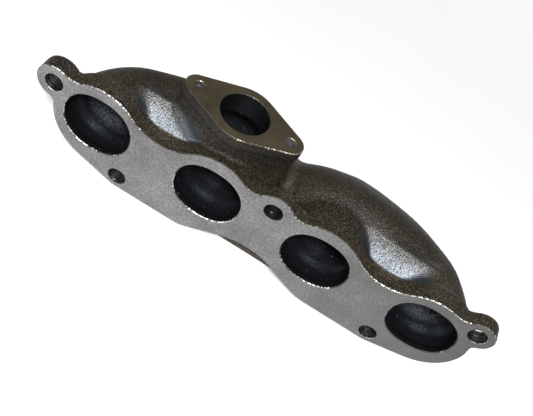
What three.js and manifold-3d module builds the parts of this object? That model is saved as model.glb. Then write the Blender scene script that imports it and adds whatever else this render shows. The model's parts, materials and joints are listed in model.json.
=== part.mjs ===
// Cast-iron turbo exhaust manifold for an inline four-cylinder engine, in millimetres.
//
// Frame: X runs along the four ports, from port 1 to port 4. The machined face that bolts to
// the cylinder head is the plane Y = 0 and the casting stands behind it, at positive Y. Z is up.
// The origin is on the head face, halfway between ports 2 and 3, at the height of the ports.
//
// The real part is a single casting. It is built here as one outer shape with the gas passages
// cut out of it, and then parted by flat planes into the sections that a foundryman would name.

import * as THREE from 'three';
import { mergeVertices } from 'three/addons/utils/BufferGeometryUtils.js';
import Module from 'manifold-3d';

const wasm = await Module();
wasm.setup();

// ---- Driving dimensions ----

const gap = 0.3; // left between neighbouring sections
const wall = 5.5; // thickness of the iron around the runners
const portWall = 8; // thickness of the iron around the ports, behind the head flange
const far = 400; // longer than the part in any direction
const overlap = 1; // how far joined shapes, and cutting tools, run past each other
const segments = 20; // sides of a round passage
const arcStep = THREE.MathUtils.degToRad(15); // longest step along a rounded outline

const portPitch = 94;
const innerPort = portPitch / 2; // X of port 3, and of port 2 on the other side
const outerPort = portPitch * 1.5; // X of port 4, and of port 1 on the other side
const port = { halfWidth: 27, halfHeight: 25.3, power: 2.2 };
const headFlangeThickness = 12;
const studHoleRadius = 7.4;

const logRadius = 22; // inside radius of the two runners
const logSetback = 46; // Y of the runners' centreline behind the head face
const logCrest = 15; // greatest height of that centreline
const stubEndRadius = 22.5; // inside radius of a stub where it opens into the runner

// The iron around an inner and an outer port, carried straight back to a distance from the face.
const innerHump = { radius: 37, back: 34 };
const outerHump = { radius: 35, back: 18 };
const humpUnderside = { z: -22, slope: 1.1 }; // its height at the flange, and how it climbs from there
const web = { halfLength: 34, foot: 18, ridgeY: 29, ridgeZ: 30.5, heelY: 33, heelZ: -6 };

const wastegate = { x: -53, y: 33.5, face: 58, thickness: 9, bore: 19, boltSpacing: 76 };
const wastegateBoltRadius = 4.2;
const wastegateBoltDepth = 22;
const wastegateRadius = 26.5; // outline around the bore
const wastegateEarRadius = 10.5; // outline around each bolt hole
const wastegateNeckInset = 1; // the neck under the flange is this much smaller all round
const wastegateNeckRoot = 20; // Z, inside the runners, where the neck starts

const turbo = { y: 57.5, face: -56, thickness: 12, boltsX: 84, boltsY: 60, cornerRadius: 10.5 };
const turboBoltRadius = 5.25;
const turboPort = { x: 62, y: 45, cornerRadius: 8 };
const turboNeckRoot = -24; // Z, inside the collector, where the neck ends

// The circles that the outline of the head flange wraps around, as X, Z and radius.
const outlineCircles = {
  lowerBossLeft: { x: -113.6, y: -38, r: 11.5 },
  shoulderLeft: { x: -61, y: -22, r: 27 },
  waist: { x: 0, y: -79, r: -51 },
  shoulderRight: { x: 61, y: -22, r: 27 },
  lowerBossRight: { x: 115.2, y: -37.5, r: 11.5 },
  endRight: { x: 139.5, y: -1.5, r: 40 },
  earRight: { x: 173.8, y: 26, r: 13.5 },
  lobe4: { x: outerPort, y: 0, r: 35 },
  lobe3: { x: innerPort, y: 0, r: 37 },
  centreBoss: { x: 0.9, y: 22.4, r: 15.5 },
  lobe2: { x: -innerPort, y: 0, r: 37 },
  lobe1: { x: -outerPort, y: 0, r: 35 },
  earLeft: { x: -180, y: 15.6, r: 14.3 },
  endLeft: { x: -137, y: -0.5, r: 40 },
};
const studBosses = ['earLeft', 'lowerBossLeft', 'centreBoss', 'lowerBossRight', 'earRight'];
const centreBoss = { radius: 10.9, length: 6 }; // stands out behind the flange around its stud hole
const earPad = 2; // thickness of the pad behind the left ear

// Planes that part the casting, as distances from the middle.
const cutCentre = 17; // head flange: centre section against the port sections
const cutFlange = portPitch; // head flange: inner ports against outer ports
const cutStub = 24; // Y where the port stubs end
const cutBoss = 12; // centre boss against stubs 2 and 3
const cutCollector = 24;
const cutBranch = 76;
const cutElbow = 112;
const cutNeck = 43; // Z where the wastegate neck starts
const cutTurboNeck = -30; // Z where the turbo neck starts

/** A range in X on the left or the right side, given as distances from the middle. */
const sided = (side, near, away) => (side > 0 ? [near, away] : [-away, -near]);

// ---- Solids ----

/** A closed three.js geometry as a solid that can be joined and cut. */
function solid(geometry) {
  geometry.deleteAttribute('normal');
  geometry.deleteAttribute('uv');
  const merged = mergeVertices(geometry, 1e-4);
  return new wasm.Manifold(new wasm.Mesh({
    numProp: 3,
    vertProperties: merged.attributes.position.array,
    triVerts: new Uint32Array(merged.index.array),
  }));
}

/** A block between two corners, each given as [x, y, z]. */
function block([x0, y0, z0], [x1, y1, z1]) {
  const box = new THREE.BoxGeometry(x1 - x0, y1 - y0, z1 - z0);
  box.translate((x0 + x1) / 2, (y0 + y1) / 2, (z0 + z1) / 2);
  return solid(box);
}

/** A flat outline in X and Y, given thickness from z0 up to z1. */
function standingPrism(outline, z0, z1) {
  const geometry = new THREE.ExtrudeGeometry(new THREE.Shape(outline), {
    depth: z1 - z0,
    bevelEnabled: false,
  });
  geometry.translate(0, 0, z0);
  return solid(geometry);
}

/** A flat outline in X and Z, given thickness from y0 back to y1. */
function facingPrism(outline, y0, y1) {
  const geometry = new THREE.ExtrudeGeometry(new THREE.Shape(outline), {
    depth: y1 - y0,
    bevelEnabled: false,
  });
  geometry.rotateX(Math.PI / 2);
  geometry.translate(0, y1, 0);
  return solid(geometry);
}

const joined = (solids) => solids.reduce((all, next) => all.add(next));

// ---- Outlines ----

/** Points of a superellipse about the origin: an ellipse at power 2, squarer above it. */
function superellipse({ halfWidth, halfHeight, power }) {
  const points = [];
  for (let i = 0; i < segments; i += 1) {
    const angle = (i / segments) * 2 * Math.PI;
    const cos = Math.cos(angle);
    const sin = Math.sin(angle);
    points.push(new THREE.Vector2(
      halfWidth * Math.sign(cos) * Math.abs(cos) ** (2 / power),
      halfHeight * Math.sign(sin) * Math.abs(sin) ** (2 / power),
    ));
  }
  return points;
}

/** A circle as an outline. */
function circle({ x, y, r }) {
  const ring = superellipse({ halfWidth: r, halfHeight: r, power: 2 });
  return ring.map((point) => point.add(new THREE.Vector2(x, y)));
}

/** The hollow circle of radius r that touches circles a and b on the outer side of the outline. */
function fillet(a, b, r) {
  const span = Math.hypot(b.x - a.x, b.y - a.y);
  const along = ((a.r + r) ** 2 - (b.r + r) ** 2 + span ** 2) / (2 * span);
  const aside = Math.sqrt((a.r + r) ** 2 - along ** 2);
  const ux = (b.x - a.x) / span;
  const uy = (b.y - a.y) / span;
  return { x: a.x + ux * along + uy * aside, y: a.y + uy * along - ux * aside, r: -r };
}

/**
 * The outline of a belt run anticlockwise around circles, with straight tangents between them.
 * A circle with a negative radius bends the belt inwards.
 */
function belt(circles) {
  const leaving = circles.map((from, i) => {
    const to = circles[(i + 1) % circles.length];
    const span = Math.hypot(to.x - from.x, to.y - from.y);
    const ratio = THREE.MathUtils.clamp((from.r - to.r) / span, -1, 1);
    return Math.atan2(to.y - from.y, to.x - from.x) - Math.acos(ratio);
  });
  const points = [];
  circles.forEach(({ x, y, r }, i) => {
    const arriving = leaving[(i + circles.length - 1) % circles.length];
    const turn = THREE.MathUtils.euclideanModulo(Math.sign(r) * (leaving[i] - arriving), 2 * Math.PI);
    const steps = Math.max(1, Math.ceil(turn / arcStep));
    for (let k = 0; k <= steps; k += 1) {
      const angle = arriving + (Math.sign(r) * turn * k) / steps;
      points.push(new THREE.Vector2(x + r * Math.cos(angle), y + r * Math.sin(angle)));
    }
  });
  return points.filter((point, i) => point.distanceTo(points.at(i - 1)) > 0.01);
}

/** The outline of the head flange, anticlockwise from its lower left boss. */
function headFlangeOutline() {
  const c = outlineCircles;
  return belt([
    c.lowerBossLeft, c.shoulderLeft, c.waist, c.shoulderRight, c.lowerBossRight,
    c.endRight, fillet(c.endRight, c.earRight, 6),
    c.earRight, fillet(c.earRight, c.lobe4, 14),
    c.lobe4, fillet(c.lobe4, c.lobe3, 37),
    c.lobe3, fillet(c.lobe3, c.centreBoss, 14),
    c.centreBoss, fillet(c.centreBoss, c.lobe2, 14),
    c.lobe2, fillet(c.lobe2, c.lobe1, 37),
    c.lobe1, fillet(c.lobe1, c.earLeft, 18),
    c.earLeft, fillet(c.earLeft, c.endLeft, 6),
    c.endLeft,
  ]);
}

const wastegateBolts = [-1, 1].map((side) => ({
  x: wastegate.x + (side * wastegate.boltSpacing) / 2,
  y: wastegate.y,
}));

/** The two-bolt outline of the wastegate flange, made smaller all round by inset. */
function wastegateOutline(inset) {
  const [left, right] = wastegateBolts.map((bolt) => ({ ...bolt, r: wastegateEarRadius - inset }));
  const middle = { x: wastegate.x, y: wastegate.y, r: wastegateRadius - inset };
  return belt([right, middle, left, middle]);
}

/** A rectangle about the middle of the turbo port, with rounded corners. */
function turboRectangle(spanX, spanY, r) {
  const corner = (sideX, sideY) => ({
    x: (sideX * spanX) / 2 - sideX * r,
    y: turbo.y + (sideY * spanY) / 2 - sideY * r,
    r,
  });
  return belt([corner(1, -1), corner(1, 1), corner(-1, 1), corner(-1, -1)]);
}

// ---- Runners and port stubs ----

/** A smooth curve through points given for the right side, or mirrored for the left. */
function curveThrough(side, points) {
  return new THREE.CatmullRomCurve3(points.map(([x, y, z]) => new THREE.Vector3(side * x, y, z)));
}

/** A closed tube along a curve. sectionAt gives its superellipse at each share of the length. */
function sweep(curve, sectionAt, steps) {
  const frames = curve.computeFrenetFrames(steps, false);
  const vertices = [];
  for (let i = 0; i <= steps; i += 1) {
    const centre = curve.getPointAt(i / steps);
    for (const point of superellipse(sectionAt(i / steps))) {
      vertices.push(centre.clone()
        .addScaledVector(frames.normals[i], point.x)
        .addScaledVector(frames.binormals[i], point.y));
    }
  }
  const firstCap = vertices.push(curve.getPointAt(0)) - 1;
  const lastCap = vertices.push(curve.getPointAt(1)) - 1;
  const faces = [];
  for (let j = 0; j < segments; j += 1) {
    const next = (j + 1) % segments;
    const last = steps * segments;
    faces.push(firstCap, next, j, lastCap, last + j, last + next);
    for (let row = 0; row < last; row += segments) {
      faces.push(row + j, row + next, row + segments + next);
      faces.push(row + j, row + segments + next, row + segments + j);
    }
  }
  const geometry = new THREE.BufferGeometry().setFromPoints(vertices);
  geometry.setIndex(faces);
  return solid(geometry);
}

/**
 * The section of a passage that starts port-shaped and is round from share roundFrom onwards,
 * or of the iron around it.
 */
function passageSection(roundFrom, radius, isIron) {
  return (share) => {
    const round = THREE.MathUtils.smoothstep(share, 0, roundFrom);
    const skin = isIron ? THREE.MathUtils.lerp(portWall, wall, round) : 0;
    return {
      halfWidth: THREE.MathUtils.lerp(port.halfWidth, radius, round) + skin,
      halfHeight: THREE.MathUtils.lerp(port.halfHeight, radius, round) + skin,
      power: THREE.MathUtils.lerp(port.power, 2, round),
    };
  };
}

/**
 * The runner of an outer port. It turns from the port towards the middle, climbs to its crest
 * behind the inner port and bends down into the collector. side is -1 for port 1, 1 for port 4.
 */
function runner(side, isIron) {
  const route = [
    [outerPort, -2, 0],
    [outerPort, 8, 0],
    [outerPort - 12, logSetback - 12, 3],
    [outerPort - 38, logSetback - 1, 8],
    [outerPort - 63, logSetback, logCrest - 2],
    [innerPort + 3, logSetback, logCrest],
    [innerPort - 20, logSetback + 0.5, logCrest - 6.5],
    [12, logSetback + 4, -6],
    [7, turbo.y, -38],
  ];
  return sweep(curveThrough(side, route), passageSection(0.3, logRadius, isIron), 18);
}

/** The short stub that climbs from an inner port into the runner behind it. */
function stub(side, isIron) {
  const route = [
    [innerPort, -2, 0],
    [innerPort, 12, 0],
    [innerPort, 30, 5],
    [innerPort, logSetback, logCrest - 1],
  ];
  return sweep(curveThrough(side, route), passageSection(1, stubEndRadius, isIron), 6);
}

/** An outline in Y and Z, stretched along X between x0 and x1. */
function sidewaysPrism(profile, x0, x1) {
  const outline = profile.map(([y, z]) => new THREE.Vector2(y, z));
  const geometry = new THREE.ExtrudeGeometry(new THREE.Shape(outline), {
    depth: x1 - x0,
    bevelEnabled: false,
  });
  geometry.rotateX(Math.PI / 2);
  geometry.rotateZ(Math.PI / 2);
  geometry.translate(x0, 0, 0);
  return solid(geometry);
}

/** The web that fills the valley between an outer and an inner port, from flange to runner. */
function valleyWeb(side) {
  const profile = [
    [0, web.foot],
    [headFlangeThickness, web.foot],
    [web.ridgeY, web.ridgeZ],
    [logSetback, logCrest],
    [web.heelY, web.heelZ],
    [0, web.heelZ],
  ];
  const middle = side * portPitch;
  return sidewaysPrism(profile, middle - web.halfLength, middle + web.halfLength);
}

/** The iron around a port, carried back from the flange. It keeps clear of the centre boss. */
function hump(side, portX, { radius, back }) {
  const tube = facingPrism(circle({ x: side * portX, y: 0, r: radius }), overlap, back);
  const start = humpUnderside.z - humpUnderside.slope * headFlangeThickness;
  const aboveUnderside = [
    [0, start],
    [back, start + humpUnderside.slope * back],
    [back, far],
    [0, far],
  ];
  const [x0, x1] = sided(side, cutBoss, far);
  return tube.intersect(sidewaysPrism(aboveUnderside, x0, x1));
}

// ---- The casting ----

/** Everything that the iron fills, passages included. */
function outerShape() {
  const boss = { ...outlineCircles.centreBoss, r: centreBoss.radius };
  const behindFace = block([-far, 0, -far], [far, far, far]);
  const behindFlange = block([-far, headFlangeThickness, -far], [far, far, far]);
  const body = joined([
    runner(-1, true),
    runner(1, true),
    stub(-1, true),
    stub(1, true),
    valleyWeb(-1),
    valleyWeb(1),
    hump(-1, innerPort, innerHump),
    hump(1, innerPort, innerHump),
    hump(-1, outerPort, outerHump),
    hump(1, outerPort, outerHump),
    standingPrism(
      wastegateOutline(wastegateNeckInset),
      wastegateNeckRoot,
      wastegate.face - overlap,
    ),
    standingPrism(
      turboRectangle(turboPort.x + 2 * wall, turboPort.y + 2 * wall, turboPort.cornerRadius + wall),
      turbo.face + overlap,
      turboNeckRoot,
    ),
  ]).intersect(behindFlange);
  const insideFlange = headFlangeThickness - overlap;
  return joined([
    facingPrism(headFlangeOutline(), 0, headFlangeThickness),
    facingPrism(circle(boss), insideFlange, headFlangeThickness + centreBoss.length),
    facingPrism(circle(outlineCircles.earLeft), insideFlange, headFlangeThickness + earPad),
    body,
    standingPrism(wastegateOutline(0), wastegate.face - wastegate.thickness, wastegate.face),
    standingPrism(
      turboRectangle(
        turbo.boltsX + 2 * turbo.cornerRadius,
        turbo.boltsY + 2 * turbo.cornerRadius,
        turbo.cornerRadius,
      ),
      turbo.face,
      turbo.face + turbo.thickness,
    ),
  ]).intersect(behindFace);
}

/** The gas passages, from the four ports to the turbo port and the wastegate bore. */
function gasPassages() {
  const bore = { x: wastegate.x, y: wastegate.y, r: wastegate.bore };
  return joined([
    runner(-1, false),
    runner(1, false),
    stub(-1, false),
    stub(1, false),
    standingPrism(circle(bore), logCrest, wastegate.face + overlap),
    standingPrism(
      turboRectangle(turboPort.x, turboPort.y, turboPort.cornerRadius),
      turbo.face - overlap,
      cutTurboNeck,
    ),
  ]);
}

/** Every hole for a stud or a bolt. */
function fastenerHoles() {
  const behindBoss = headFlangeThickness + centreBoss.length + overlap;
  const studs = studBosses.map((name) => facingPrism(
    circle({ ...outlineCircles[name], r: studHoleRadius }),
    -overlap,
    behindBoss,
  ));
  const wastegateHoles = wastegateBolts.map((bolt) => standingPrism(
    circle({ ...bolt, r: wastegateBoltRadius }),
    wastegate.face - wastegateBoltDepth,
    wastegate.face + overlap,
  ));
  const turboHoles = [[-1, -1], [-1, 1], [1, -1], [1, 1]].map(([sideX, sideY]) => standingPrism(
    circle({
      x: (sideX * turbo.boltsX) / 2,
      y: turbo.y + (sideY * turbo.boltsY) / 2,
      r: turboBoltRadius,
    }),
    turbo.face - overlap,
    turbo.face + turbo.thickness + overlap,
  ));
  return joined([...studs, ...wastegateHoles, ...turboHoles]);
}

// ---- Sections ----

const half = gap / 2;
const flangeBack = headFlangeThickness + gap;

/** The space of a section: X, Y and Z ranges whose inner planes are held back by half a gap. */
function space([x0, x1], [y0, y1], [z0, z1]) {
  return block([x0 + half, y0 + half, z0 + half], [x1 - half, y1 - half, z1 - half]);
}

const allX = [-far, far];
const headFlangeY = [-half, flangeBack - half];
const stubY = [flangeBack - half, cutStub];
const bossBack = headFlangeThickness + centreBoss.length + half;
const behindStubs = [cutStub, far];
const behindHeadFlange = [flangeBack - half, far];
const turboTop = turbo.face + turbo.thickness + half;
const headFlangeZ = [-far, cutNeck];
const bodyZ = [turboTop, cutNeck];
const collectorZ = [cutTurboNeck, cutNeck];
const wastegateUnder = wastegate.face - wastegate.thickness - half;

const sectionSpaces = {
  head_flange_centre: space([-cutCentre, cutCentre], headFlangeY, headFlangeZ),
  centre_stud_boss: space([-cutBoss, cutBoss], [stubY[0], bossBack], bodyZ),
  collector: joined([
    space([-cutCollector, cutCollector], behindStubs, collectorZ),
    space([-cutBoss, cutBoss], [bossBack, far], collectorZ),
  ]),
  turbo_neck: space(allX, behindStubs, [turboTop, cutTurboNeck])
    .intersect(block([-cutBranch, 0, -far], [cutBranch, far, far])),
  turbo_flange: space(allX, behindHeadFlange, [-far, turboTop]),
  wastegate_neck: space(allX, behindHeadFlange, [cutNeck, wastegateUnder]),
  wastegate_flange: space(allX, [-half, far], [wastegateUnder, far]),
};
for (const side of [-1, 1]) {
  const [inner, outer] = side < 0 ? [2, 1] : [3, 4];
  Object.assign(sectionSpaces, {
    [`head_flange_${inner}`]: space(sided(side, cutCentre, cutFlange), headFlangeY, headFlangeZ),
    [`head_flange_${outer}`]: space(sided(side, cutFlange, far), headFlangeY, headFlangeZ),
    [`port_stub_${inner}`]: space(sided(side, cutBoss, cutBranch), stubY, bodyZ),
    [`port_stub_${outer}`]: space(sided(side, cutElbow, far), stubY, bodyZ),
    [`branch_${inner}`]: space(sided(side, cutCollector, cutBranch), behindStubs, collectorZ),
    [`runner_${outer}`]: space(sided(side, cutBranch, cutElbow), behindHeadFlange, bodyZ),
    [`elbow_${outer}`]: space(sided(side, cutElbow, far), behindStubs, bodyZ),
  });
}

// ---- Materials ----

const machinedIron = { color: 0x9a9690, roughness: 0.5, metalness: 0.8 };
const castIron = { color: 0x4a453e, roughness: 0.75, metalness: 0.6 };
const oiledIron = { color: 0x6e6555, roughness: 0.4, metalness: 0.8 };

/** The finish of a section. */
function finishOf(name) {
  if (name.startsWith('head_flange')) return machinedIron;
  if (name.endsWith('_flange')) return oiledIron;
  return castIron;
}

// ---- Assembly ----

/** A solid as a named mesh. */
function meshOf(name, section) {
  const { vertProperties, triVerts } = section.getMesh();
  const geometry = new THREE.BufferGeometry();
  geometry.setAttribute('position', new THREE.BufferAttribute(vertProperties, 3));
  geometry.setIndex(new THREE.BufferAttribute(triVerts, 1));
  geometry.computeVertexNormals();
  const mesh = new THREE.Mesh(geometry, new THREE.MeshStandardMaterial(finishOf(name)));
  mesh.name = name;
  return mesh;
}

const casting = outerShape().subtract(gasPassages()).subtract(fastenerHoles());
const manifold = new THREE.Group();
for (const [name, sectionSpace] of Object.entries(sectionSpaces)) {
  manifold.add(meshOf(name, casting.intersect(sectionSpace)));
}

export default manifold;
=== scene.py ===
"""Looks of a cast-iron exhaust manifold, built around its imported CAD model.

The casting is one continuous skin. A distance field describes the iron and the gas passages
inside it, and is meshed once. Flat cuts then part that skin into the same sections as the CAD
model, without gaps. The machined faces are separate plates with chamfered edges, laid over the
skin. Shapes are worked out in millimetres, and materials and the studio in metres, both in the
frame of the CAD model.
"""

import json
import math
from functools import cache

import bmesh
import bpy
import numpy as np
import openvdb
from mathutils import Matrix, Vector


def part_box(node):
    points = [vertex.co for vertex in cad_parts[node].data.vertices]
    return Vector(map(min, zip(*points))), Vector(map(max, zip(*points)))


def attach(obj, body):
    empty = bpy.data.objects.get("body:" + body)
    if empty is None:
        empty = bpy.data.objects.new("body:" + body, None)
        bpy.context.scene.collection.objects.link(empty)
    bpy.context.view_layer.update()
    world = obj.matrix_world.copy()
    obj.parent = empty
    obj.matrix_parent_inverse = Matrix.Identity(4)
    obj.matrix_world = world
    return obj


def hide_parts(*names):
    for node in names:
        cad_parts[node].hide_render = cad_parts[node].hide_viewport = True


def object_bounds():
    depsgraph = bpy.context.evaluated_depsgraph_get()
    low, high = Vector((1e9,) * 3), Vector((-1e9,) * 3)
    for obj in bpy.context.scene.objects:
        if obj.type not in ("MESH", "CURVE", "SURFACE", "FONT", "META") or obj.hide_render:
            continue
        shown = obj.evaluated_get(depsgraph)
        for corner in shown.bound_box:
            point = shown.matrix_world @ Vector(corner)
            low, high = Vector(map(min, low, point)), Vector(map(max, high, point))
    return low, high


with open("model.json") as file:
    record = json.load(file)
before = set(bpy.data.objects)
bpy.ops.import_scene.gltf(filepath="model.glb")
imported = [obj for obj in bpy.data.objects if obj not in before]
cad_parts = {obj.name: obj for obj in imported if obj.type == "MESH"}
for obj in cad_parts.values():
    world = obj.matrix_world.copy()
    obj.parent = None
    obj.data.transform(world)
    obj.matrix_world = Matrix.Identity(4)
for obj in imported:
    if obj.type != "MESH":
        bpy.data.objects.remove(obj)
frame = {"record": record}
cad_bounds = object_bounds()

MM = 0.001
FAR = 400.0  # millimetres, further than any point of the part
X, Y, Z = range(3)

# ---- Dimensions, in millimetres ----

# Ports and holes
PORT_HALF_WIDTH = 27.0
PORT_HALF_HEIGHT = 25.3
PORT_POWER = 2.2  # of the superellipse that a port is
STUD_HOLE_RADIUS = 7.4
STUD_HOLE_DEPTH = 30.0  # deep enough to pass through the flange and the middle boss
WASTEGATE_BORE_RADIUS = 19.0
WASTEGATE_BOLT_RADIUS = 4.2
WASTEGATE_BOLT_DEPTH = 22.0
TURBO_PORT = (62.0, 45.0, 8.0)  # span in X, span in Y, corner radius
TURBO_PORT_TOP = -30.0  # height up to which the turbo port keeps its shape
TURBO_BOLT_RADIUS = 5.25

# Outline of the head flange. A circle is X, Z and radius, and a negative radius is a hollow.
INNER_LOBE = 37.0  # radius around an inner port
OUTER_LOBE = 35.0
CENTRE_LOBE = 15.5  # radius around the middle stud hole
LOWER_BOSS = 11.5  # radius around a lower stud hole
LEFT_END = (-137.0, -0.5, 40.0)
RIGHT_END = (139.5, -1.5, 40.0)
FOOT = (61.0, -22.0, 27.0)  # on either side of the waist
WAIST = (0.0, -79.0, -51.0)
UPPER_HOLLOWS = (6.0, 14.0, 37.0, 14.0, 14.0, 37.0, 18.0, 6.0)  # radii, from right to left

# Runners, stubs and webs
WALL = 5.5  # iron around the runners
PORT_WALL = 7.2  # iron around the ports
RUNNER_RADIUS = 22.0
STUB_END_RADIUS = 22.5
NARROWING = 0.3  # share of a runner's length over which it narrows from the port's size
CREST = 15.0  # greatest height of a runner's centreline
SETBACK = 46.0  # of a runner's centreline behind the head face
WEB_HALF_LENGTH = 34.0
WEB_SECTION = ((0, -6), (33, -6), (SETBACK, CREST), (29, 30.5), (12, 18), (0, 17))  # Y and Z
WEB_MIDDLE = 95.0  # where the skin of the webs is worn brightest
INNER_HUMP_DEPTH = 34.0  # how far back the iron behind an inner port's lobe reaches
OUTER_HUMP_DEPTH = 18.0
HUMP_UNDERSIDE = (-22.0, 1.1)  # height at the flange and slope of the plane that trims a hump
EAR_PAD = 2.0  # thickness of the pad behind the left ear
CENTRE_BOSS_RADIUS = 10.9
NECK_INSET = 1.0  # of the wastegate neck inside the flange above it
TURBO_NECK_START = 2.0  # height above the turbo face at which its neck starts, inside the flange
TURBO_NECK_TOP = -24.0  # height at which that neck ends, inside the collector

# Hollows where two shapes of iron meet, and rounded edges
CREASE = 2.2  # where the humps meet the runners
WEB_FILLET = 8.0
CENTRE_VALLEY = 7.0  # where the two runners meet
NECK_FLARE = 5.0  # where the wastegate neck runs out into the humps and the runner
FLANGE_FILLET = 3.0  # around the turbo flange and the middle boss
WASTEGATE_FILLET = 2.0  # under the wastegate flange
TURBO_NECK_FILLET = 4.0
PASSAGE_FILLET = 4.0  # where two passages meet
BORE_FILLET = 3.0  # where the wastegate bore meets the runner's passage
PORT_FLARE = 6.0  # where a port's opening runs into the round passage behind it
HUMP_EDGE = 3.0
HUMP_UNDERSIDE_EDGE = 6.0
SLAB_EDGE = 0.8  # of the head flange
CAST_EDGE = 1.0  # of the other flanges and the middle boss
PASSAGE_EDGE = 1.5  # where a passage breaks through the skin
HOLE_EDGE = 0.4

# Machined faces
FACE_SKIN = 2.5  # thickness of the machined plate on each flange
FIELD_FRONT = 9.0  # how far behind the head face the body of the casting starts
CHAMFER = 0.6  # around a machined face
PORT_CHAMFER = 0.7  # around the ports
BORE_CHAMFER = 0.5  # around the wastegate bore
HOLE_CHAMFER = 0.25  # around the other holes

# Fineness
VOXEL = 1.25  # spacing of the distance field
REACH = 14.0  # how far outside a tube its distance is worked out
OVERLAP = 5.0  # how far a shape runs on inside its neighbour, or out past a face
ARC_STEP = math.radians(4)  # longest step along a rounded outline
SAME_POINT = 0.02  # points of an outline that are closer than this are one
RUNNER_STEPS = 48
STUB_STEPS = 16
CURVE_STEPS = 24  # steps between two points of a curve, before they are evened out
WAVE_HEIGHT = 0.2  # of the unevenness of the cast skin
WAVES = (7.1, 6.3, 5.7)  # its wavelengths in X, Y and Z, over 2 pi
ON_WALL = 0.7  # a face this close to a passage or a hole is part of its wall
ON_PLANE = 0.01  # a face this close to a plane lies in it

# ---- Studio, in metres ----

FLOOR_GAP = 0.0003  # between the floor and the part
FLOOR_SPAN = 2.0
FLOOR_FADE = (0.28, 0.80)  # distances from the origin between which the floor fades away
BACKDROP = 1.0  # how bright the backdrop looks
AMBIENT = 0.14  # how bright the backdrop is as a light

CAMERA_PLACE = (-0.0267, -0.3593, 0.4262)
CAMERA_RIGHT = (0.8459, 0.3690, 0.3851)  # direction of the picture's right side
CAMERA_UP = (-0.5311, 0.6493, 0.5443)  # direction of the picture's top
CAMERA_LENS = 51.13  # millimetres
CAMERA_SHIFT = (-0.0114, 0.0058)
CAMERA_NEAR = 0.01

LIGHTS = {  # place, size and power in watts
    "flash": ((0.15, -1.42, 1.86), 0.4, 84),
    "left": ((-0.60, -0.50, 0.08), 0.3, 2),
    "back": ((0.3, 1.7, 0.2), 1.0, 5),
}
LIT_POINT = (0, 0.03, 0)  # where every light looks


def box_mm(node):
    """The lowest and highest corners of a CAD node, in millimetres."""
    low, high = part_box(node)
    return np.array(low) / MM, np.array(high) / MM


def opening_mm(name):
    """The middle of an opening that the record states, in millimetres."""
    openings = frame["record"]["physics"]["openings"]
    box = next(entry["box_m"] for entry in openings if entry["name"] == name)
    return np.array(box).mean(axis=0) / MM


def seam(before, after, axis):
    """Where two neighbouring CAD nodes part along an axis, in millimetres."""
    return (box_mm(before)[1][axis] + box_mm(after)[0][axis]) / 2


INNER_PORT = opening_mm("port_3")[X]
OUTER_PORT = opening_mm("port_4")[X]
PORTS = (-OUTER_PORT, -INNER_PORT, INNER_PORT, OUTER_PORT)
FLANGE_BACK = seam("head_flange_4", "port_stub_4", Y)
WASTEGATE_LOW, WASTEGATE_HIGH = box_mm("wastegate_flange")
TURBO_LOW, TURBO_HIGH = box_mm("turbo_flange")

# ---- Outlines ----


def circle(x, y, r):
    """A circle for belt(). A negative radius bends the belt inwards."""
    return np.array([x, y, r], float)


def fillet(a, b, r):
    """The hollow circle of radius r that touches circles a and b on the outer side."""
    span = math.hypot(*(b - a)[:2])
    along = ((a[2] + r) ** 2 - (b[2] + r) ** 2 + span**2) / (2 * span)
    aside = math.sqrt((a[2] + r) ** 2 - along**2)
    ux, uy = (b - a)[:2] / span
    return circle(a[0] + ux * along + uy * aside, a[1] + uy * along - ux * aside, -r)


def belt(circles, inset=0.0):
    """Points of a belt run anticlockwise around circles, with straight tangents between them."""
    rounds = [circle(c[0], c[1], c[2] - inset) for c in circles]
    leaving = []
    for start, end in zip(rounds, rounds[1:] + rounds[:1]):
        span = math.hypot(*(end - start)[:2])
        ratio = max(-1.0, min(1.0, (start[2] - end[2]) / span))
        leaving.append(math.atan2(end[1] - start[1], end[0] - start[0]) - math.acos(ratio))
    points = []
    for (x, y, r), arrive, leave in zip(rounds, leaving[-1:] + leaving[:-1], leaving):
        sign = math.copysign(1.0, r)
        turn = (sign * (leave - arrive)) % (2 * math.pi)
        steps = max(1, math.ceil(turn / ARC_STEP))
        for angle in np.linspace(arrive, arrive + sign * turn, steps + 1):
            points.append((x + r * math.cos(angle), y + r * math.sin(angle)))
    points = np.array(points)
    apart = np.linalg.norm(points - np.roll(points, 1, axis=0), axis=1)
    return points[apart > SAME_POINT]


def round_hole(x, y, r):
    """A circle as an outline, anticlockwise."""
    angles = np.arange(0, 2 * math.pi, ARC_STEP * 1.5)
    return np.stack([x + r * np.cos(angles), y + r * np.sin(angles)], axis=1)


def port_hole(x, grow=0.0):
    """The superellipse outline of a port, anticlockwise."""
    angles = np.arange(0, 2 * math.pi, ARC_STEP)
    cos, sin = np.cos(angles), np.sin(angles)
    wide = (PORT_HALF_WIDTH + grow) * np.sign(cos) * np.abs(cos) ** (2 / PORT_POWER)
    high = (PORT_HALF_HEIGHT + grow) * np.sign(sin) * np.abs(sin) ** (2 / PORT_POWER)
    return np.stack([x + wide, high], axis=1)


STUDS = {
    place: opening_mm(f"stud_{place}")[[X, Z]]
    for place in ("left_ear", "lower_left", "centre", "lower_right", "right_ear")
}
LEFT_EAR_RADIUS = STUDS["left_ear"][X] - box_mm("head_flange_1")[0][X]
RIGHT_EAR_RADIUS = box_mm("head_flange_4")[1][X] - STUDS["right_ear"][X]


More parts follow.
